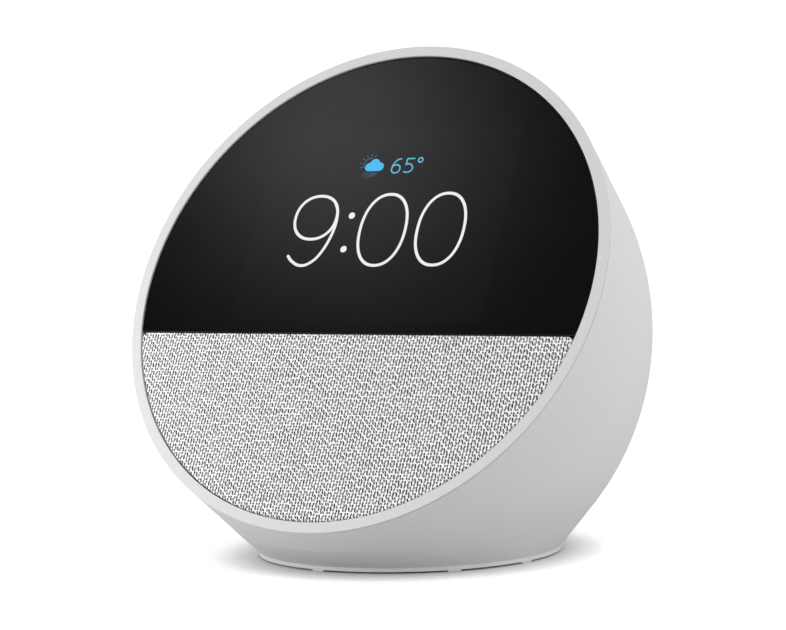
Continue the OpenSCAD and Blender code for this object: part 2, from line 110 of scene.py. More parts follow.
def new_object(name, points, faces, place=FACE, sharp=30.0):
    """Mesh object from points in millimetres, smooth-shaded with edges over the sharp angle kept crisp."""
    mesh = bpy.data.meshes.new(name)
    mesh.from_pydata([tuple(c * MM for c in p) for p in points], [], faces)
    mesh.validate()
    bm = bmesh.new()
    bm.from_mesh(mesh)
    bmesh.ops.recalc_face_normals(bm, faces=bm.faces)
    bm.to_mesh(mesh)
    bm.free()
    finish_shading(mesh, sharp)
    obj = bpy.data.objects.new(name, mesh)
    bpy.context.scene.collection.objects.link(obj)
    obj.matrix_world = place
    return obj


def finish_shading(mesh, sharp):
    """Smooth shading with the edges over the sharp angle marked."""
    mesh.polygons.foreach_set("use_smooth", [True] * len(mesh.polygons))
    mesh.set_sharp_from_angle(angle=math.radians(sharp))


def rounded(corners, steps=5, closed=True):
    """Polygon whose corners (x, y, radius) are replaced by arcs of that radius."""
    out = []
    count = len(corners)
    for i, (x, y, radius) in enumerate(corners):
        p = Vector((x, y))
        if radius == 0 or (not closed and i in (0, count - 1)):
            out.append((x, y))
            continue
        before = (Vector(corners[i - 1][:2]) - p).normalized()
        after = (Vector(corners[(i + 1) % count][:2]) - p).normalized()
        half = before.angle(after) / 2
        reach = radius / math.tan(half)
        centre = p + (before + after).normalized() * (radius / math.sin(half))
        start, end = p + before * reach - centre, p + after * reach - centre
        sweep = start.angle_signed(end)
        for k in range(steps + 1):
            turned = Matrix.Rotation(-sweep * k / steps, 2) @ start
            out.append(tuple(centre + turned))
    return out


def revolve(name, profile, place, closed=True, segments=192, sharp=30.0):
    """Turns a profile of (radius, height) about local Z. An open profile starts and ends on the axis."""
    points, rings = [], []
    for r, z in profile:
        if r < 1e-6:
            rings.append([len(points)] * segments)
            points.append((0, 0, z))
            continue
        rings.append(list(range(len(points), len(points) + segments)))
        for k in range(segments):
            a = 2 * math.pi * k / segments
            points.append((r * math.cos(a), r * math.sin(a), z))
    pairs = list(zip(rings, rings[1:] + rings[:1])) if closed else list(zip(rings, rings[1:]))
    faces = []
    for low, high in pairs:
        for k in range(segments):
            n = (k + 1) % segments
            corner = list(dict.fromkeys((low[k], low[n], high[n], high[k])))
            if len(corner) > 2:
                faces.append(corner)
    return new_object(name, points, faces, place, sharp)


def loft(name, loops, place=FACE, sharp=30.0):
    """Closed body through equal-length loops of points, capped at both ends."""
    count = len(loops[0])
    points = [p for loop in loops for p in loop]
    faces = [list(range(count)), list(range((len(loops) - 1) * count, len(loops) * count))]
    for i in range(len(loops) - 1):
        for k in range(count):
            n = (k + 1) % count
            faces.append([i * count + k, i * count + n, (i + 1) * count + n, (i + 1) * count + k])
    return new_object(name, points, faces, place, sharp)


def segment_outline(inset, side, corner, arc_steps=360, corner_steps=8, line_steps=80):
    """Outline of the face insert above (side 1) or below (side -1) the split, drawn in by the inset."""
    r = INSERT_R
    cut = SPLIT_Y * side + SEAM_HALF
    centre_y = cut + corner
    centre_x = math.sqrt((r - corner) ** 2 - centre_y ** 2)
    tangent = math.atan2(centre_y, centre_x)
    out = []
    for k in range(arc_steps + 1):
        a = tangent + (math.pi - 2 * tangent) * k / arc_steps
        out.append(((r - inset) * math.cos(a), (r - inset) * math.sin(a)))
    small = max(corner - inset, SMALLEST_CORNER)
    for k in range(1, corner_steps):
        a = math.pi - tangent + (math.pi / 2 + tangent) * k / corner_steps
        out.append((-centre_x + small * math.cos(a), centre_y + small * math.sin(a)))
    low = centre_y - small
    for k in range(line_steps + 1):
        out.append((centre_x * (2 * k / line_steps - 1), low))
    for k in range(1, corner_steps):
        a = -math.pi / 2 + (math.pi / 2 + tangent) * k / corner_steps
        out.append((centre_x + small * math.cos(a), centre_y + small * math.sin(a)))
    return [(x, y * side) for x, y in out]


def edge_levels(back, front, back_round, front_round, steps=5):
    """(inset, height) pairs of a plate's side with both edges rounded.
    A further loop inside each edge keeps the faces flat where they are smooth-shaded."""
    levels = [(back_round + FLAT_MARGIN, back)]
    for k in range(steps + 1):
        a = math.pi / 2 * k / steps
        levels.append((back_round * (1 - math.sin(a)), back + back_round * (1 - math.cos(a))))
    for k in range(steps + 1):
        a = math.pi / 2 * k / steps
        levels.append((front_round * (1 - math.cos(a)), front - front_round * (1 - math.sin(a))))
    levels.append((front_round + FLAT_MARGIN, front))
    return levels


def segment_plate(name, side, corner, levels):
    """Plate of the face insert's outline, through its (inset, height) levels."""
    return loft(name, [[(x, y, z) for x, y in segment_outline(inset, side, corner)] for inset, z in levels])


def apply_modifiers(obj, sharp):
    """Replaces the object's mesh by its modified one."""
    graph = bpy.context.evaluated_depsgraph_get()
    mesh = bpy.data.meshes.new_from_object(obj.evaluated_get(graph))
    obj.modifiers.clear()
    obj.data = mesh
    finish_shading(mesh, sharp)


# ---- Material helpers ----

def linear(srgb):
    """Linear colour with alpha from a 0-255 sRGB triple or grey."""
    values = (srgb,) * 3 if isinstance(srgb, (int, float)) else srgb
    out = []
    for v in values:
        c = v / 255
        out.append(c / 12.92 if c <= 0.04045 else ((c + 0.055) / 1.055) ** 2.4)
    return (*out, 1.0)


class Shader:
    """One material's node tree, with short calls for the nodes used here."""

    def __init__(self, name):
        self.material = bpy.data.materials.new(name)
        self.material.use_nodes = True
        self.tree = self.material.node_tree
        self.bsdf = self.tree.nodes["Principled BSDF"]
        self.position = self.add("ShaderNodeTexCoord").outputs["Object"]

    def add(self, kind, inputs=None, **settings):
        node = self.tree.nodes.new(kind)
        for key, value in settings.items():
            setattr(node, key, value)
        for key, value in (inputs or {}).items():
            self.put(node.inputs[key], value)
        return node

    def put(self, socket, value):
        if isinstance(value, bpy.types.NodeSocket):
            self.tree.links.new(value, socket)
        else:
            socket.default_value = value

    def set(self, **values):
        """Sets the surface shader's sockets, with _ for a space in their names."""
        for key, value in values.items():
            self.put(self.bsdf.inputs[key.replace("_", " ")], value)

    def math(self, operation, a, b=0.0):
        return self.add("ShaderNodeMath", {0: a, 1: b}, operation=operation).outputs[0]

    def vector(self, operation, a, b=(0, 0, 0), result=0):
        return self.add("ShaderNodeVectorMath", {0: a, 1: b}, operation=operation).outputs[result]

    def ramp(self, factor, stops):
        node = self.add("ShaderNodeValToRGB", {"Fac": factor})
        while len(node.color_ramp.elements) < len(stops):
            node.color_ramp.elements.new(0.5)
        for element, (position, colour) in zip(node.color_ramp.elements, stops):
            element.position = position
            element.color = colour
        return node.outputs["Color"]

    def span(self, value, low, high, to_low, to_high, smooth=False):
        kind = "SMOOTHSTEP" if smooth else "LINEAR"
        node = self.add("ShaderNodeMapRange", {
            "Value": value, "From Min": low, "From Max": high, "To Min": to_low, "To Max": to_high},
            interpolation_type=kind)
        return node.outputs["Result"]

    def noise(self, scale, detail=3.0, roughness=0.55, stretch=(1, 1, 1)):
        """Noise with features about 1/scale metres across, squeezed along each axis by the stretch."""
        where = self.position
        if stretch != (1, 1, 1):
            where = self.vector("MULTIPLY", where, stretch)
        return self.add("ShaderNodeTexNoise", {
            "Vector": where, "Scale": scale, "Detail": detail, "Roughness": roughness}).outputs["Fac"]

    def bump(self, height, distance, strength=1.0):
        inputs = {"Height": height, "Distance": distance, "Strength": strength}
        return self.add("ShaderNodeBump", inputs).outputs["Normal"]

    def mix(self, factor, a, b):
        node = self.add("ShaderNodeMix", {"Factor": factor, 6: a, 7: b}, data_type="RGBA")
        return node.outputs[2]


def shade(colour, amount):
    """The colour made lighter or darker by a factor."""
    return (*(min(1.0, c * amount) for c in colour[:3]), 1.0)


def moulded(name, colour, rough=0.5, grain=4000, depth=0.006, mottle=0.03, coat=0.0, speck=0.0):
    """Moulded plastic: a fine spark-eroded grain, faint flow mottling and a slight change of gloss."""
    s = Shader(name)
    flow = s.noise(45, 4, 0.6)
    fine = s.noise(grain, 2, 0.5)
    worn = s.noise(260, 5, 0.65)
    tone = s.ramp(flow, [(0.3, shade(colour, 1 - mottle)), (0.7, shade(colour, 1 + mottle))])
    if speck:
        dots = s.ramp(s.noise(1900, 1, 0.4), [(0.72, (0, 0, 0, 1)), (0.76, (1, 1, 1, 1))])
        tone = s.mix(s.math("MULTIPLY", dots, speck), tone, shade(colour, 2.2))
    s.set(Base_Color=tone, Roughness=s.span(worn, 0.3, 0.7, rough - 0.05, rough + 0.05),
          Coat_Weight=coat, Normal=s.bump(fine, depth * MM))
    return s.material


def metal(name, colour, rough=0.35, brushed=(1, 1, 1), depth=0.004, tarnish=0.12):
    """Metal with brush lines along one axis and a little tarnish."""
    s = Shader(name)
    lines = s.noise(1800, 3, 0.6, stretch=brushed)
    stain = s.noise(120, 5, 0.6)
    tone = s.ramp(stain, [(0.25, shade(colour, 1 - tarnish)), (0.75, colour)])
    s.set(Base_Color=tone, Metallic=1.0, Roughness=s.span(lines, 0.25, 0.75, rough - 0.08, rough + 0.1),
          Normal=s.bump(lines, depth * MM))
    return s.material


def rubber(name, colour, rough=0.85, grain=2500, depth=0.02):
    s = Shader(name)
    fine = s.noise(grain, 4, 0.7)
    dust = s.noise(300, 5, 0.7)
    tone = s.ramp(dust, [(0.35, colour), (0.8, shade(colour, 1.9))])
    s.set(Base_Color=tone, Roughness=s.span(fine, 0.2, 0.8, rough - 0.08, rough + 0.08),
          Specular_IOR_Level=0.35, Normal=s.bump(fine, depth * MM))
    return s.material


# ---- Materials of the face ----

SCREEN_Y = 13.6
SCREEN_HALF_X, SCREEN_HALF_Y = 30.6, 22.9
SCREEN_BLEND = 0.15
SCREEN_DOT_PITCH = 0.125
LIT_LEVEL = 1.0


def lens_material():
    """Polished black lens with the lit screen area only just lighter than its border."""
    s = Shader("lens_gloss_black")
    parts = s.add("ShaderNodeSeparateXYZ", {0: s.position})
    across = s.math("ABSOLUTE", parts.outputs[0])
    along = s.math("ABSOLUTE", s.math("SUBTRACT", parts.outputs[1], SCREEN_Y * MM))
    inside = s.math("MULTIPLY",
                    s.span(across, SCREEN_HALF_X * MM, (SCREEN_HALF_X - SCREEN_BLEND) * MM, 0, 1, True),
                    s.span(along, SCREEN_HALF_Y * MM, (SCREEN_HALF_Y - SCREEN_BLEND) * MM, 0, 1, True))
    haze = s.noise(60, 3, 0.5)
    smear = s.noise(25, 5, 0.7, stretch=(1, 2.5, 1))
    black = s.ramp(haze, [(0.3, (0.0016, 0.0016, 0.0018, 1)), (0.7, (0.0026, 0.0026, 0.0029, 1))])
    s.set(Base_Color=black, Roughness=s.span(smear, 0.3, 0.7, 0.07, 0.1), IOR=1.5, Coat_Weight=0.0,
          Emission_Color=(0.75, 0.85, 1.0, 1.0), Emission_Strength=s.span(inside, 0, 1, 0, 0.0015))
    return s.material


def lit_material(name, colour):
    """Lit part of the screen, with the panel's fine rows of dots."""
    s = Shader(name)
    parts = s.add("ShaderNodeSeparateXYZ", {0: s.position})
    turn = 2 * math.pi / (SCREEN_DOT_PITCH * MM)
    rows = s.math("SINE", s.math("MULTIPLY", parts.outputs[1], turn))
    columns = s.math("SINE", s.math("MULTIPLY", parts.outputs[0], turn))
    grid = s.math("ADD", rows, columns)
    tone = s.ramp(s.span(grid, -2, 2, 0, 1), [(0.0, shade(colour, 0.94)), (1.0, shade(colour, 1.03))])
    s.set(Base_Color=(0.004, 0.004, 0.004, 1), Roughness=0.12, Emission_Color=tone,
          Emission_Strength=LIT_LEVEL)
    return s.material


KNIT_PITCH_X, KNIT_PITCH_Y = 1.44, 1.235
EYE_APART = 0.31
EYE_CURVE = 1.1
EYE_HALF_X = 0.2
EYE_HALF_Y = (0.25, 0.34)
EYE_LEAN = (-0.3, 0.6)


def slots_in_knit(s, x, y, shift):
    """Open eyes of the knit: pairs of short curved slots on one of two interleaved lattices.
    Gives 1 inside an eye."""
    u = s.math("ADD", s.math("DIVIDE", x, KNIT_PITCH_X), shift)
    v = s.math("ADD", s.math("DIVIDE", y, KNIT_PITCH_Y), shift)
    column, row = s.math("ROUND", u), s.math("ROUND", v)
    cell = s.add("ShaderNodeCombineXYZ", {0: column, 1: row, 2: 3.7 * shift + 0.3}).outputs[0]
    chance = s.add("ShaderNodeTexWhiteNoise", {"Vector": cell}, noise_dimensions="3D").outputs["Color"]
    odds = s.add("ShaderNodeSeparateXYZ", {0: chance}).outputs

    def drawn(index, low, high):
        """One of the cell's three random numbers, between two values."""
        return s.span(odds[index], 0, 1, low, high)

    fx = s.math("MULTIPLY", s.math("SUBTRACT", u, column), KNIT_PITCH_X)
    fy = s.math("MULTIPLY", s.math("SUBTRACT", v, row), KNIT_PITCH_Y)
    fy = s.math("ADD", fy, drawn(0, -0.1, 0.1))
    slanted = s.math("ADD", fx, s.math("MULTIPLY", fy, drawn(1, *EYE_LEAN)))
    out = None
    for side, first, second, third in ((-1, 2, 1, 2), (1, 1, 2, 0)):
        offset = s.math("ADD", slanted, drawn(first, -0.05, 0.05))
        bend = s.math("MULTIPLY", s.math("MULTIPLY", fy, fy), side * EYE_CURVE)
        centred = s.math("ADD", s.math("SUBTRACT", offset, side * EYE_APART), bend)
        dx = s.math("DIVIDE", centred, EYE_HALF_X)
        dy = s.math("DIVIDE", fy, drawn(second, *EYE_HALF_Y))
        reach = s.math("ADD", s.math("POWER", s.math("ABSOLUTE", dx), 2.2),
                       s.math("POWER", s.math("ABSOLUTE", dy), 2.6))
        slot = s.math("MULTIPLY", s.span(reach, 1.45, 0.75, 0, 1, True), drawn(third, 0.85, 1.0))
        out = slot if out is None else s.math("MAXIMUM", out, slot)
    return out


def fabric_material():
    """Light grey open knit: dark eyes between plump pale yarns."""
    s = Shader("fabric_grey_knit")
    millimetres = s.vector("SCALE", s.position)
    millimetres.node.inputs["Scale"].default_value = 1 / MM
    wander = s.add("ShaderNodeTexNoise", {
        "Vector": s.position, "Scale": 420.0, "Detail": 2.0}).outputs["Color"]
    drift = s.vector("MULTIPLY", s.vector("SUBTRACT", wander, (0.5, 0.5, 0.5)), (0.22, 0.22, 0))
    parts = s.add("ShaderNodeSeparateXYZ", {0: s.vector("ADD", millimetres, drift)})
    x, y = parts.outputs[0], parts.outputs[1]
    eyes = s.math("MAXIMUM", slots_in_knit(s, x, y, 0.0), slots_in_knit(s, x, y, 0.5))
    yarn = s.noise(5200, 3, 0.6, stretch=(1.0, 0.45, 1))
    patch = s.noise(1500, 2, 0.6)
    tone = s.math("ADD", s.math("MULTIPLY", yarn, 0.6), s.math("MULTIPLY", patch, 0.4))
    pale = s.ramp(tone, [(0.32, linear(184)), (0.46, linear(247)), (0.56, linear(255))])
    colour = s.mix(eyes, pale, linear(8))
    plump = s.math("SUBTRACT", s.math("MULTIPLY", yarn, 0.35), eyes)
    s.set(Base_Color=colour, Roughness=0.9, Specular_IOR_Level=0.2, Sheen_Weight=0.25, Sheen_Roughness=0.5,
          Normal=s.bump(plump, 0.07 * MM, 0.8))
    return s.material


# ---- Materials of the hidden parts ----

def board_material(name, colour):
    """Circuit board: solder mask over copper tracks, with tiny pale pads."""
    s = Shader(name)
    tracks = s.add("ShaderNodeTexBrick", {
        "Vector": s.position, "Scale": 620.0, "Mortar Size": 0.035, "Color1": (0, 0, 0, 1),
        "Color2": (0, 0, 0, 1), "Mortar": (1, 1, 1, 1)}).outputs["Color"]
    pads = s.add("ShaderNodeTexVoronoi", {"Vector": s.position, "Scale": 520.0}).outputs["Distance"]
    cloth = s.noise(900, 3, 0.6)
    mask = s.ramp(cloth, [(0.3, shade(colour, 0.8)), (0.7, shade(colour, 1.2))])
    copper = s.mix(tracks, mask, shade(colour, 2.4))
    tin = s.ramp(pads, [(0.1, (1, 1, 1, 1)), (0.13, (0, 0, 0, 1))])
    s.set(Base_Color=s.mix(tin, copper, (0.6, 0.6, 0.55, 1)), Roughness=s.span(cloth, 0.3, 0.7, 0.28, 0.4),
          Normal=s.bump(tracks, 0.03 * MM))
    return s.material


def flex_material(name, colour):
    """Polyimide film with fine parallel tracks."""
    s = Shader(name)
    lines = s.add("ShaderNodeTexWave", {
        "Vector": s.position, "Scale": 380.0, "Distortion": 0.4}).outputs["Fac"]
    cloud = s.noise(300, 3, 0.6)
    film = s.ramp(cloud, [(0.3, shade(colour, 0.85)), (0.7, shade(colour, 1.1))])
    tracks = s.span(lines, 0.55, 0.7, 0, 0.6)
    s.set(Base_Color=s.mix(tracks, film, (0.42, 0.17, 0.05, 1)), Roughness=0.3,
          Normal=s.bump(lines, 0.01 * MM))
    return s.material


def cloth_material(name, colour):
    """Resin-treated woven cloth."""
    s = Shader(name)
    parts = s.add("ShaderNodeSeparateXYZ", {0: s.position})
    warp = s.math("SINE", s.math("MULTIPLY", parts.outputs[0], 9000.0))
    weft = s.math("SINE", s.math("MULTIPLY", parts.outputs[2], 9000.0))
    weave = s.math("MULTIPLY", warp, weft)
    tone = s.ramp(s.span(weave, -1, 1, 0, 1), [(0, shade(colour, 0.6)), (1, shade(colour, 1.15))])
    s.set(Base_Color=tone, Roughness=0.8, Normal=s.bump(weave, 0.05 * MM))
    return s.material


def ferrite_material(name, colour):
    """Sintered ferrite with light grinding marks."""
    s = Shader(name)
    grit = s.noise(2600, 5, 0.75)
    tone = s.ramp(grit, [(0.35, shade(colour, 0.6)), (0.7, shade(colour, 1.7))])
    s.set(Base_Color=tone, Metallic=0.25, Roughness=s.span(grit, 0.3, 0.7, 0.5, 0.75),
          Normal=s.bump(grit, 0.03 * MM))
    return s.material


def coil_material(name, colour):
    """Enamelled wire wound round the coil former, with painted shade darkening the grooves between the turns.
    """
    s = Shader(name)
    axis = s.vector("DOT_PRODUCT", s.position, tuple(OUT), result="Value")
    turns = s.math("SINE", s.math("MULTIPLY", axis, 2 * math.pi / (0.25 * MM)))
    # Painted shade: the colour darkens where the sine dips, in the grooves between turns.
    tone = s.ramp(s.span(turns, -1, 1, 0, 1), [(0, shade(colour, 0.35)), (0.6, colour)])
    s.set(Base_Color=tone, Metallic=1.0, Roughness=0.3, Normal=s.bump(turns, 0.04 * MM))
    return s.material


def slot_colour(name):
    """Base colour that the record gives to a material slot."""
    for row in frame["record"]["materials"]:
        if row["slot"] == name:
            return (*row["base_color"], 1.0)
    raise ValueError(name)


SHELL_WHITE = (0.66, 0.66, 0.665, 1.0)
RING_WHITE = (0.655, 0.655, 0.66, 1.0)

finishes = {
    "shell_white": moulded("shell_white_moulded", SHELL_WHITE, 0.48, 3600, 0.004, 0.008),
    "ring_white": moulded("ring_white_satin", RING_WHITE, 0.36, 5200, 0.002, 0.006),
    "button_white": moulded("button_white_satin", SHELL_WHITE, 0.4, 5200, 0.002, 0.008),
    "base_grey": moulded("base_white_moulded", SHELL_WHITE, 0.5, 3600, 0.004, 0.01),
    "lens_black": lens_material(),
    "fabric_grey": fabric_material(),
    "chassis_black": moulded("chassis_black_moulded", (0.035, 0.035, 0.038, 1), 0.55, 2600, 0.01, 0.15,
                             speck=0.12),
    "grille_dark": moulded("grille_dark_moulded", (0.05, 0.05, 0.054, 1), 0.6, 2600, 0.01, 0.15),
    "basket_black": moulded("basket_glass_filled", (0.05, 0.05, 0.056, 1), 0.5, 1800, 0.02, 0.2, speck=0.3),
    "inlet_black": moulded("inlet_black_moulded", (0.022, 0.022, 0.024, 1), 0.5, 3200, 0.008, 0.15),
    "connector_ivory": moulded("connector_ivory_nylon", slot_colour("connector_ivory"), 0.45, 3000, 0.006,
                               0.05),
    "lead_red": moulded("lead_red_sleeve", slot_colour("lead_red"), 0.35, 2400, 0.01, 0.1, coat=0.2),
    "cone_paper": moulded("cone_coated_paper", (0.03, 0.03, 0.032, 1), 0.6, 1400, 0.05, 0.25, speck=0.2),
    "tape_black": rubber("tape_foam_black", (0.012, 0.012, 0.012, 1), 0.9, 2200, 0.04),
    "rubber_black": rubber("rubber_matte_black", (0.018, 0.018, 0.019, 1)),
    "pad_blue": rubber("pad_gap_filler", slot_colour("pad_blue"), 0.8, 1600, 0.03),
    "panel_metal": metal("panel_stamped_frame", slot_colour("panel_metal"), 0.35, (1, 8, 8)),
    "steel_plate": metal("plate_zinc", slot_colour("steel_plate"), 0.38, (1, 6, 6)),
    "screw_steel": metal("screw_black_zinc", slot_colour("screw_steel"), 0.35),
    "can_tin": metal("can_tinned", slot_colour("can_tin"), 0.3, (1, 8, 8)),
    "spreader_alu": metal("spreader_extruded", slot_colour("spreader_alu"), 0.4, (0.1, 6, 6), 0.008),
    "contact_gold": metal("contact_gold_plate", slot_colour("contact_gold"), 0.25),
    "ballast_steel": metal("ballast_plated", slot_colour("ballast_steel"), 0.4),
    "board_green": board_material("board_solder_mask", slot_colour("board_green")),
    "antenna_board": board_material("antenna_solder_mask", slot_colour("antenna_board")),
    "flex_amber": flex_material("flex_polyimide", slot_colour("flex_amber")),
    "spider_cloth": cloth_material("spider_cloth_weave", slot_colour("spider_cloth")),
    "magnet_ferrite": ferrite_material("magnet_sintered", slot_colour("magnet_ferrite")),
    "coil_copper": coil_material("coil_enamelled", slot_colour("coil_copper")),
}

for part in frame["record"]["subparts"]:
    finish = finishes[part["material_slot"]]
    node_mesh = frame["nodes"][part["node"]].data
    node_mesh.materials.clear()
    node_mesh.materials.append(finish)


def make_piece(obj, body, slot, replaces=(), material=None):
    """Gives the object its material and hangs it on a body, in place of the CAD nodes it replaces."""
    obj.data.materials.clear()
    obj.data.materials.append(material or finishes[slot])
    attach(obj, body)
    if replaces:
        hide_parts(*replaces)


# ---- Rear shell ----

def shell_space():
    """Ray-casting tree of the blended body: face disc, rear bulb and base disc in one convex skin."""
    points = []
    rim = FACE_CENTRE + OUT * SHELL_FRONT_Z
    rim_steps, bands, spokes = 720, 240, 480
    for k in range(rim_steps):
        a = 2 * math.pi * k / rim_steps
        across, along = SHELL_FRONT_R * math.cos(a), SHELL_FRONT_R * math.sin(a)
        points.append(rim + Vector((1, 0, 0)) * across + UP * along)
        points.append(Vector((BASE_R * math.cos(a), BASE_R * math.sin(a), RIM_TOP)))
    for i in range(1, bands):
        polar = math.pi * i / bands
        for k in range(spokes):
            a = 2 * math.pi * k / spokes
            p = Vector((BULB_HALF.x * math.sin(polar) * math.cos(a),
                        BULB_HALF.y * math.sin(polar) * math.sin(a),
                        BULB_Z + BULB_HALF.z * math.cos(polar)))
            if p.z >= BULB_CUT_Z and (p - FACE_CENTRE).dot(OUT) <= SHELL_FRONT_Z:
                points.append(p)
    bm = bmesh.new()
    for p in points:
        bm.verts.new(p)
    made = bmesh.ops.convex_hull(bm, input=bm.verts)
    spare = [v for v in made["geom_interior"] if isinstance(v, bmesh.types.BMVert)]
    bmesh.ops.delete(bm, geom=spare, context="VERTS")
    tree = BVHTree.FromBMesh(bm)
    bm.free()
    return tree


def shell_loops():
    """Closed set of loops round the shell's wall: down the outside from face rim to base rim, and back up
    inside. Each outer loop lies in a plane through the line where the seam plane meets the base plane."""
    tree = shell_space()
    rim = FACE_CENTRE + OUT * SHELL_FRONT_Z
    hinge_y = rim.y + (RIM_TOP - rim.z) * UP.y / UP.z
    hinge = Vector((0, hinge_y, RIM_TOP))
    side = Vector((1, 0, 0))
    rows, spokes = 130, 320
    centres, slopes = [rim], [UP]
    for i in range(1, rows):
        angle = (math.pi / 2 - TILT) * (1 - i / rows)
        slope = Vector((0, math.cos(angle), math.sin(angle)))
        near = tree.ray_cast(hinge, slope)[0]
        far = tree.ray_cast(hinge + slope * 300, -slope)[0]
        centres.append((near + far) / 2)
        slopes.append(slope)
    centres.append(Vector((0, 0, RIM_TOP)))
    slopes.append(Vector((0, 1, 0)))
    turns = [2 * math.pi * k / spokes for k in range(spokes)]
    rays = [[side * math.cos(a) + slope * math.sin(a) for a in turns] for slope in slopes]
    reach = np.empty((rows + 1, spokes))
    reach[0], reach[rows] = SHELL_FRONT_R, BASE_R
    for i in range(1, rows):
        reach[i] = [tree.ray_cast(centres[i], ray)[3] for ray in rays[i]]
    # Two light passes take out the hull's facets
    for _ in range(2):
        reach = (np.roll(reach, 1, 1) + 2 * reach + np.roll(reach, -1, 1)) / 4
        reach[1:-1] = (reach[:-2] + 2 * reach[1:-1] + reach[2:]) / 4
    outer = np.array([[centres[i] + rays[i][k] * float(reach[i, k]) for k in range(spokes)]
                      for i in range(rows + 1)])
    along = np.gradient(outer, axis=0)
    around = np.roll(outer, -1, 1) - np.roll(outer, 1, 1)
    normals = np.cross(around, along)
    normals /= np.linalg.norm(normals, axis=2, keepdims=True)
    if ((outer - np.array((0, 0, BULB_Z))) * normals).sum() < 0:
        normals = -normals
    depth = -(outer - np.array(FACE_CENTRE)) @ np.array(OUT)
    thick = np.where(depth < REBATE_DEPTH, REBATE_WALL, WALL)[..., None]
    inner = outer - normals * thick
    ahead = (inner[0] - np.array(rim)) @ np.array(OUT)
    inner[0] -= ahead[:, None] * np.array(OUT)
    inner[rows] = np.array([(BASE_R - WALL) * np.array(ray) for ray in rays[rows]]) + np.array(centres[rows])
    return list(outer) + list(inner[::-1])


def loops_body(name, loops, place, sharp):
    """Closed band through a ring of equal-length loops, the last joined to the first."""
    count = len(loops[0])
    points = [tuple(p) for loop in loops for p in loop]
    faces = []
    for i in range(len(loops)):
        a, b = i * count, (i + 1) % len(loops) * count
        for k in range(count):
            n = (k + 1) % count
            faces.append([a + k, a + n, b + n, b + k])
    return new_object(name, points, faces, place, sharp)


def cutter(name, place, profile, segments=96):
    """Solid of revolution, hidden from the render, that cuts a hole."""
    obj = revolve(name, profile, place, closed=False, segments=segments)
    obj.hide_render = True
    return obj


def rear_shell():
    """Shell wall with chamfered holes for the buttons and microphones, and the inlet's hole."""
    obj = loops_body("rear_shell_moulding", shell_loops(), WORLD, 35)
    cutters = []
    hole_r = BUTTON_R + BUTTON_GAP
    button_edge = [
        (0, CUT_FROM), (hole_r, CUT_FROM), (hole_r, 55.9), (hole_r + 0.1, 56.15), (hole_r + 0.35, 56.35),
        (hole_r + 0.9, 56.65), (hole_r + 0.9, CUT_TO), (0, CUT_TO)]
    mic_edge = [
        (0, CUT_FROM), (MIC_HOLE_R, CUT_FROM), (MIC_HOLE_R, 56.05), (MIC_HOLE_R + 0.25, 56.4),
        (MIC_HOLE_R + 0.25, CUT_TO), (0, CUT_TO)]
    for name, angle in BUTTON_ANGLES.items():
        cutters.append(cutter("cut_" + name, spoke(angle), button_edge))
    for i, angle in enumerate(MIC_ANGLES):
        cutters.append(cutter(f"cut_mic_{i}", spoke(angle), mic_edge, 32))
    inlet = Matrix.Translation((0, 30 * MM, INLET_Z * MM)) @ Matrix.Rotation(-math.pi / 2, 4, "X")
    cutters.append(cutter("cut_inlet", inlet, [(0, 0), (INLET_HOLE_R, 0), (INLET_HOLE_R, 30), (0, 30)]))
    for c in cutters:
        cut = obj.modifiers.new(c.name, "BOOLEAN")
        cut.operation = "DIFFERENCE"
        cut.solver = "MANIFOLD"
        cut.object = c
    apply_modifiers(obj, 35)
    for c in cutters:
        bpy.data.objects.remove(c)
    make_piece(obj, "root", "shell_white", ["rear_shell"])


rear_shell()

# ---- Bezel ring ----

# The two points on the flat front, away from its edges, keep it flat where it is smooth-shaded
ring_profile = rounded([
    (RING_IN_R + 0.05, RING_BACK, 0), (RING_IN_R + RING_SLEEVE, RING_BACK, 0),
    (RING_IN_R + RING_SLEEVE, RING_UNDER, 0), (RING_OUT_R, RING_UNDER, 0.05), (RING_OUT_R, 0, 0.22),
    (RING_OUT_R - 0.5, 0, 0), (RING_IN_R + 0.4, 0, 0), (RING_IN_R, 0, 0.1), (RING_IN_R, -0.6, 0),
], 7)
ring = revolve("bezel_ring_band", ring_profile, FACE, segments=360, sharp=40)
make_piece(ring, "root", "ring_white", ["bezel_ring"])

# ---- Lens and fabric ----

lens = segment_plate("lens_plate", 1, 0.5, edge_levels(LENS_BACK, LENS_FRONT, 0.08, 0.14))
make_piece(lens, "root", "lens_black", ["front_lens"])

fabric_levels = edge_levels(FABRIC_BACK, FABRIC_FRONT, 0.08, 0.3, 7)
fabric = segment_plate("grille_fabric_sheet", -1, 1.3, fabric_levels)
make_piece(fabric, "root", "fabric_grey", ["grille_fabric"])


# ---- Clock face: lit strokes on the screen ----

def stroke_loop(points, width, closed):
    """Both sides of a line of that width along the points."""
    count = len(points)
    left, right = [], []
    for i, p in enumerate(points):
        before = points[i - 1] if (closed or i > 0) else p
        after = points[(i + 1) % count] if (closed or i < count - 1) else p
        along = (Vector(after) - Vector(before)).normalized()
        side = Vector((-along.y, along.x)) * (width / 2)
        left.append(Vector(p) + side)
        right.append(Vector(p) - side)
    return left, right


def smooth_line(points, steps=10):
    """Catmull-Rom curve through the points."""
    out = []
    for i in range(len(points) - 1):
        a, b = Vector(points[max(i - 1, 0)]), Vector(points[i])
        c, d = Vector(points[i + 1]), Vector(points[min(i + 2, len(points) - 1)])
        for k in range(steps):
            t = k / steps
            out.append(0.5 * (2 * b + (c - a) * t + (2 * a - 5 * b + 4 * c - d) * t * t
                              + (3 * b - a - 3 * c + d) * t ** 3))
    out.append(Vector(points[-1]))
    return [tuple(p) for p in out]


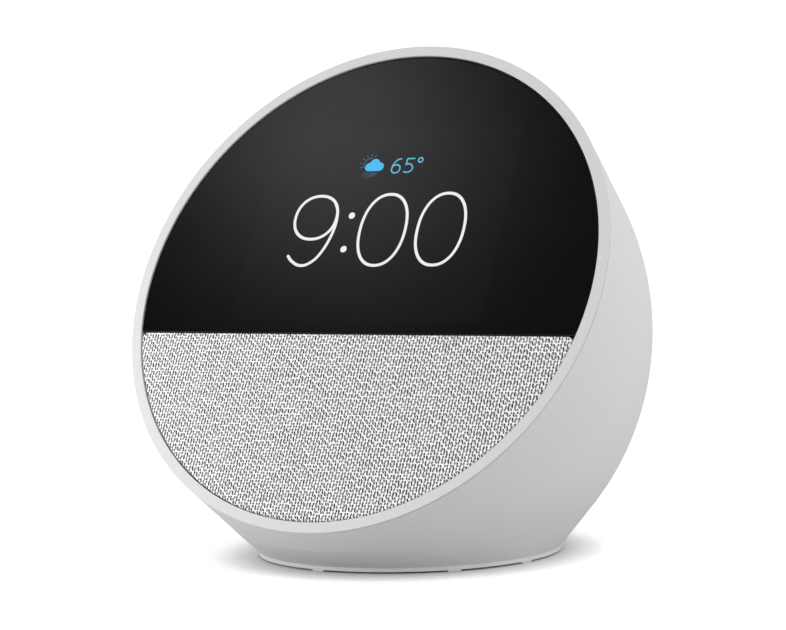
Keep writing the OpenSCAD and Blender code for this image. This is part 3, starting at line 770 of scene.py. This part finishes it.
class Graphic:
    """Flat shapes on the screen, each a thin closed solid, gathered into one mesh."""

    def __init__(self, low, high):
        self.low, self.high = low, high
        self.points, self.faces = [], []

    def prism(self, outline):
        start, count = len(self.points), len(outline)
        self.points += [(x, y, self.low) for x, y in outline] + [(x, y, self.high) for x, y in outline]
        self.faces.append([start + k for k in range(count)][::-1])
        self.faces.append([start + count + k for k in range(count)])
        for k in range(count):
            n = (k + 1) % count
            self.faces.append([start + k, start + n, start + count + n, start + count + k])

    def line(self, points, width, closed=False):
        """Line with round ends, or a closed loop."""
        left, right = stroke_loop(points, width, closed)
        if not closed:
            ends = []
            for centre, edge in ((points[-1], right[-1]), (points[0], left[0])):
                start = math.atan2(edge.y - centre[1], edge.x - centre[0])
                ends.append([(centre[0] + width / 2 * math.cos(start + math.pi * k / 8),
                              centre[1] + width / 2 * math.sin(start + math.pi * k / 8))
                             for k in range(1, 8)])
            forth, back = [tuple(p) for p in right], [tuple(p) for p in reversed(left)]
            self.prism(forth + ends[0] + back + ends[1])
            return
        start, count = len(self.points), len(points)
        for z in (self.low, self.high):
            self.points += [(p.x, p.y, z) for p in left] + [(p.x, p.y, z) for p in right]
        for k in range(count):
            n = (k + 1) % count
            a, b, c, d = (start + i * count for i in range(4))
            self.faces += [[a + k, b + k, b + n, a + n], [c + k, c + n, d + n, d + k],
                           [a + k, a + n, c + n, c + k], [b + k, d + k, d + n, b + n]]

    def disc(self, x, y, r, sides=40):
        self.prism([(x + r * math.cos(2 * math.pi * k / sides), y + r * math.sin(2 * math.pi * k / sides))
                    for k in range(sides)])

    def build(self, name, material):
        obj = new_object(name, self.points, self.faces, FACE, 30)
        make_piece(obj, "root", "lens_black", (), material)


def oval(x, y, half_w, half_h, power, sides=96):
    """Superellipse: power 2 is an ellipse and more is squarer."""
    out = []
    for k in range(sides):
        a = 2 * math.pi * k / sides
        c, s = math.cos(a), math.sin(a)
        out.append((x + half_w * math.copysign(abs(c) ** (2 / power), c),
                    y + half_h * math.copysign(abs(s) ** (2 / power), s)))
    return out


SCREEN_LOW, SCREEN_HIGH = LENS_FRONT - 0.02, LENS_FRONT + 0.015
DIGIT_STROKE, THIN_STROKE = 0.66, 0.32

digits = Graphic(SCREEN_LOW, SCREEN_HIGH)
digits.line(oval(2.19, 12.0, 5.55, 8.38, 2.2), DIGIT_STROKE, closed=True)
digits.line(oval(16.23, 12.0, 5.55, 8.38, 2.2), DIGIT_STROKE, closed=True)
digits.line(oval(-15.17, 15.13, 5.2, 5.17, 2.15), DIGIT_STROKE, closed=True)
digits.line(smooth_line([
    (-11.17, 18.6), (-10.22, 16.9), (-9.82, 14.6), (-9.89, 12.4), (-10.42, 9.9), (-11.37, 7.4), (-12.77, 5.2),
    (-14.77, 3.85), (-16.77, 3.8), (-18.67, 4.8), (-19.8, 5.95)]), DIGIT_STROKE)
digits.disc(-6.27, 15.46, 0.76)
digits.disc(-6.27, 7.5, 0.76)
digits.build("clock_digits", lit_material("screen_white", linear(240)))

temperature = Graphic(SCREEN_LOW, SCREEN_HIGH)
temperature.line(smooth_line([
    (2.65, 28.9), (1.9, 28.72), (1.25, 28.1), (0.83, 27.2), (0.77, 26.4)]), THIN_STROKE)
temperature.line(oval(1.77, 26.5, 1.02, 0.98, 2.1, 40), THIN_STROKE, closed=True)
temperature.line([(5.9, 28.9), (4.2, 28.9)], THIN_STROKE)
temperature.line(smooth_line([(4.2, 28.9), (4.07, 27.45)]), THIN_STROKE)
temperature.line(smooth_line([
    (4.07, 27.45), (4.7, 27.68), (5.5, 27.35), (5.87, 26.6), (5.5, 25.88), (4.7, 25.6),
    (3.9, 25.75)]), THIN_STROKE)
temperature.line(oval(7.42, 28.5, 0.53, 0.53, 2, 32), 0.33, closed=True)
temperature.build("temperature_digits", lit_material("screen_pale_blue", linear((90, 186, 216))))


def cloud_outline():
    """Three round lobes on a flat underside."""
    centre = Vector((-3.75, 26.9))
    drop = 0.78
    lobes = ((-4.95, 27.12, 1.0), (-3.7, 27.75, 1.28), (-2.37, 27.12, 1.0))
    out = []
    for k in range(120):
        a = 2 * math.pi * k / 120
        ray = Vector((math.cos(a), math.sin(a)))
        best = 0.0
        for x, y, r in lobes:
            to = Vector((x, y)) - centre
            along = to.dot(ray)
            inside = along * along - to.length_squared + r * r
            if inside > 0:
                best = max(best, along + math.sqrt(inside))
        if ray.y < 0:
            floor_reach = drop / -ray.y
            under = lobes[0][0] < centre.x + floor_reach * ray.x < lobes[2][0]
            best = floor_reach if under else min(best, floor_reach)
        out.append(tuple(centre + ray * best))
    return out


cloud = Graphic(SCREEN_LOW, SCREEN_HIGH + 0.004)
cloud.prism(cloud_outline())
cloud.build("weather_cloud", lit_material("screen_blue", linear((66, 186, 242))))

SUN = Vector((-4.95, 27.85))
RAIN = ((-5.95, 25.5, 0.9), (-5.25, 25.2, 1.5), (-4.45, 25.05, 1.7), (-3.75, 25.25, 1.3), (-3.1, 25.3, 1.1))


def round_sun(radius, degrees):
    """Point at that distance and angle from the sun's centre."""
    a = math.radians(degrees)
    return tuple(SUN + Vector((math.cos(a), math.sin(a))) * radius)


faint = Graphic(SCREEN_LOW, SCREEN_HIGH)
for angle in (62, 90, 118, 146, 174, 202):
    faint.line([round_sun(1.85, angle), round_sun(2.4, angle)], 0.2)
faint.line([round_sun(1.4, angle) for angle in range(75, 226, 10)], 0.22)
for x, y, length in RAIN:
    lean = Vector((0.56, 0.83)) * (length / 2)
    faint.line([(x - lean.x, y - lean.y), (x + lean.x, y + lean.y)], 0.18)
faint.build("weather_rays", lit_material("screen_dim_blue", linear((56, 100, 122))))


# ---- Buttons ----

ICON_STROKE = 0.42
icon_finish = moulded("icon_grey_print", (0.2, 0.2, 0.21, 1), 0.55, 5200, 0.002, 0.05)


def button(name, angle, icon):
    """Button cap with its stem and flange, and the printed mark on its slightly domed top."""
    flange_low, crown = BUTTON_FLANGE_R - 0.7, BUTTON_TOP_R - 0.06
    profile = rounded([
        (0, BUTTON_STEM_R, 0), (1.2, BUTTON_STEM_R, 0.1), (1.2, flange_low, 0),
        (BUTTON_R + 0.9, flange_low, 0.1), (BUTTON_R + 0.9, BUTTON_FLANGE_R, 0.1),
        (BUTTON_R, BUTTON_FLANGE_R, 0),
        (BUTTON_R, BUTTON_TOP_R - 0.2, 0.32), (2.6, crown, 2.0), (0, crown, 0),
    ], 6, closed=False)
    obj = revolve(name + "_cap", profile, spoke(angle), closed=False, segments=128, sharp=40)
    make_piece(obj, name, "button_white", [name + "_button"])
    mark = Graphic(BUTTON_TOP_R - 0.09, BUTTON_TOP_R - 0.03)
    for line in icon:
        mark.line(line, ICON_STROKE)
    sign = new_object(name + "_icon", mark.points, mark.faces, spoke(angle), 30)
    make_piece(sign, name, "button_white", (), icon_finish)


MINUS = [[(-1.35, 0), (1.35, 0)]]
PLUS = [[(-1.35, 0), (1.35, 0)], [(0, -1.35), (0, 1.35)]]
MIC_OFF = [
    [(0, -1.25), (0, 0.05)], [(-1.5, -1.5), (1.5, 1.5)], [(0, 1.05), (0, 1.65)],
    [(-0.65, 1.65), (0.65, 1.65)],
    [(math.sin(math.radians(a)), 0.05 + math.cos(math.radians(a))) for a in range(-90, 91, 15)],
]
for name, icon in (("volume_down", MINUS), ("mic_off", MIC_OFF), ("volume_up", PLUS)):
    button(name, BUTTON_ANGLES[name], icon)

# ---- Floor, light and camera ----

FLOOR_HALF = 30000
PAINTED_SHADOW_FADE_START, PAINTED_SHADOW_FADE_END = 31, 43      # between these distances from the middle the floor's lift comes in; nearer the base the camera sees the floor darker, a painted contact shadow
FLOOR_LIFT = 1.95                   # how much brighter the camera sees the floor than the object does

SOFT_LOW, SOFT_HIGH = 0.97, 1.09    # surround at the horizon and overhead
SOFT_LEAN = (0.45, 0.09, 0.0)       # the surround is this much brighter on the right and behind
MIRROR_LOW, MIRROR_HIGH = 0.8, 0.035    # what gloss mirrors near the horizon and overhead
MIRROR_FADE = (0.35, 0.62)
BACKDROP = 1.1                      # what the camera sees behind the object
MIRROR_GLOWS = (                    # azimuth, elevation, spread and level
    (-49.63, 46.46, 2.265, 1.025),  # soft patch in the upper left of the lens, seen from the camera
    (15.0, 72.0, 14.0, 0.32),       # wide glow for the lens seen from straight ahead and above
)

CAMERA_PLACE = Vector((279.4, -479.8, 81.5)) * MM
CAMERA_AZIMUTH, CAMERA_ELEVATION, CAMERA_ROLL = 30.4698, 3.1217, -1.5276
CAMERA_LENS = 118.0


def floor():
    """Large pale floor with a barely visible tone. The camera sees it brighter away from the base; round the
    base it stays darker as a painted contact shadow.
    """
    corners = [(x * FLOOR_HALF, y * FLOOR_HALF, 0) for x, y in ((-1, -1), (1, -1), (1, 1), (-1, 1))]
    obj = new_object("studio_floor", corners, [[0, 1, 2, 3]], WORLD)
    s = Shader("studio_floor_white")
    tone = s.ramp(s.noise(3, 3, 0.5), [(0.3, (0.64, 0.64, 0.64, 1)), (0.7, (0.66, 0.66, 0.66, 1))])
    seen = s.add("ShaderNodeLightPath").outputs["Is Camera Ray"]
    far = s.vector("LENGTH", s.position, result="Value")
    # Painted contact shadow: the camera's brighter floor fades in only between these distances from the middle,
    # which leaves the floor round the base darker.
    away = s.math("MULTIPLY", seen, s.span(far, PAINTED_SHADOW_FADE_START * MM, PAINTED_SHADOW_FADE_END * MM, 0, 1))
    lift = s.vector("SCALE", tone)
    s.put(lift.node.inputs["Scale"], s.span(away, 0, 1, 1.0, FLOOR_LIFT))
    s.set(Base_Color=lift, Roughness=0.95, Specular_IOR_Level=0.0)
    obj.data.materials.append(s.material)


def direction(azimuth, elevation):
    """Unit vector toward an azimuth, from the front and to the right, and an elevation, in degrees."""
    a, e = math.radians(azimuth), math.radians(elevation)
    return (math.sin(a) * math.cos(e), -math.cos(a) * math.cos(e), math.sin(e))


def studio_world():
    """Even white surround for the soft light, and a darker one with soft glows for what gloss mirrors."""
    world = bpy.data.worlds.new("studio")
    world.use_nodes = True
    bpy.context.scene.world = world
    tree = world.node_tree
    tree.nodes.clear()

    def add(kind, inputs=None, **settings):
        node = tree.nodes.new(kind)
        for key, value in settings.items():
            setattr(node, key, value)
        for key, value in (inputs or {}).items():
            if isinstance(value, bpy.types.NodeSocket):
                tree.links.new(value, node.inputs[key])
            else:
                node.inputs[key].default_value = value
        return node

    def calc(operation, a, b=0.0):
        return add("ShaderNodeMath", {0: a, 1: b}, operation=operation).outputs[0]

    ray = add("ShaderNodeTexCoord").outputs["Generated"]

    def glow(azimuth, elevation, spread, level):
        near = add("ShaderNodeVectorMath", {0: ray, 1: direction(azimuth, elevation)},
                   operation="DOT_PRODUCT")
        width = math.radians(spread) ** 2
        fall = calc("EXPONENT", calc("DIVIDE", calc("SUBTRACT", near.outputs["Value"], 1.0), width))
        return calc("MULTIPLY", fall, level)

    height = add("ShaderNodeSeparateXYZ", {0: ray}).outputs[2]
    soft = add("ShaderNodeMapRange", {
        "Value": height, "From Min": 0.0, "From Max": 0.9, "To Min": SOFT_LOW, "To Max": SOFT_HIGH},
        interpolation_type="SMOOTHSTEP").outputs["Result"]
    lean = add("ShaderNodeVectorMath", {0: ray, 1: SOFT_LEAN}, operation="DOT_PRODUCT").outputs["Value"]
    soft = calc("MULTIPLY", soft, calc("ADD", lean, 1.0))
    mirror = add("ShaderNodeMapRange", {
        "Value": height, "From Min": MIRROR_FADE[0], "From Max": MIRROR_FADE[1], "To Min": MIRROR_LOW,
        "To Max": MIRROR_HIGH}, interpolation_type="SMOOTHSTEP").outputs["Result"]
    for azimuth, elevation, spread, level in MIRROR_GLOWS:
        mirror = calc("ADD", mirror, glow(azimuth, elevation, spread, level))
    path = add("ShaderNodeLightPath").outputs
    level = add("ShaderNodeMix", {"Factor": path["Is Glossy Ray"], 2: soft, 3: mirror},
                data_type="FLOAT").outputs[0]
    level = add("ShaderNodeMix", {"Factor": path["Is Camera Ray"], 2: level, 3: BACKDROP},
                data_type="FLOAT").outputs[0]
    back = add("ShaderNodeBackground", {"Color": (1, 1, 1, 1), "Strength": level})
    out = add("ShaderNodeOutputWorld")
    tree.links.new(back.outputs[0], out.inputs["Surface"])


def side_light():
    """Small soft light low on the left, in front of the face."""
    data = bpy.data.lights.new("side_light", "AREA")
    data.shape = "DISK"
    data.size = 0.08
    data.energy = 0.13
    obj = bpy.data.objects.new("side_light", data)
    bpy.context.scene.collection.objects.link(obj)
    place = FACE @ Vector((-0.150, -0.070, 0.090))
    aim = (FACE_CENTRE * MM - place).normalized()
    obj.matrix_world = Matrix.Translation(place) @ aim.to_track_quat("-Z", "Y").to_matrix().to_4x4()
    obj.visible_camera = False
    obj.visible_glossy = False


def camera():
    """Long-lens camera, low and to the right of the face, with a small roll."""
    data = bpy.data.cameras.new("camera")
    data.sensor_width = 36.0
    data.lens = CAMERA_LENS
    data.clip_start, data.clip_end = 0.01, 200.0
    obj = bpy.data.objects.new("camera", data)
    bpy.context.scene.collection.objects.link(obj)
    back = Vector(direction(CAMERA_AZIMUTH, CAMERA_ELEVATION))
    right = (-back).cross(Vector((0, 0, 1))).normalized()
    up = back.cross(right)
    roll = math.radians(CAMERA_ROLL)
    right, up = right * math.cos(roll) + up * math.sin(roll), -right * math.sin(roll) + up * math.cos(roll)
    turn = Matrix((right, up, back)).transposed().to_4x4()
    obj.matrix_world = Matrix.Translation(CAMERA_PLACE) @ turn
    bpy.context.scene.camera = obj


floor()
studio_world()
side_light()
camera()
bpy.context.scene.view_settings.view_transform = "Standard"
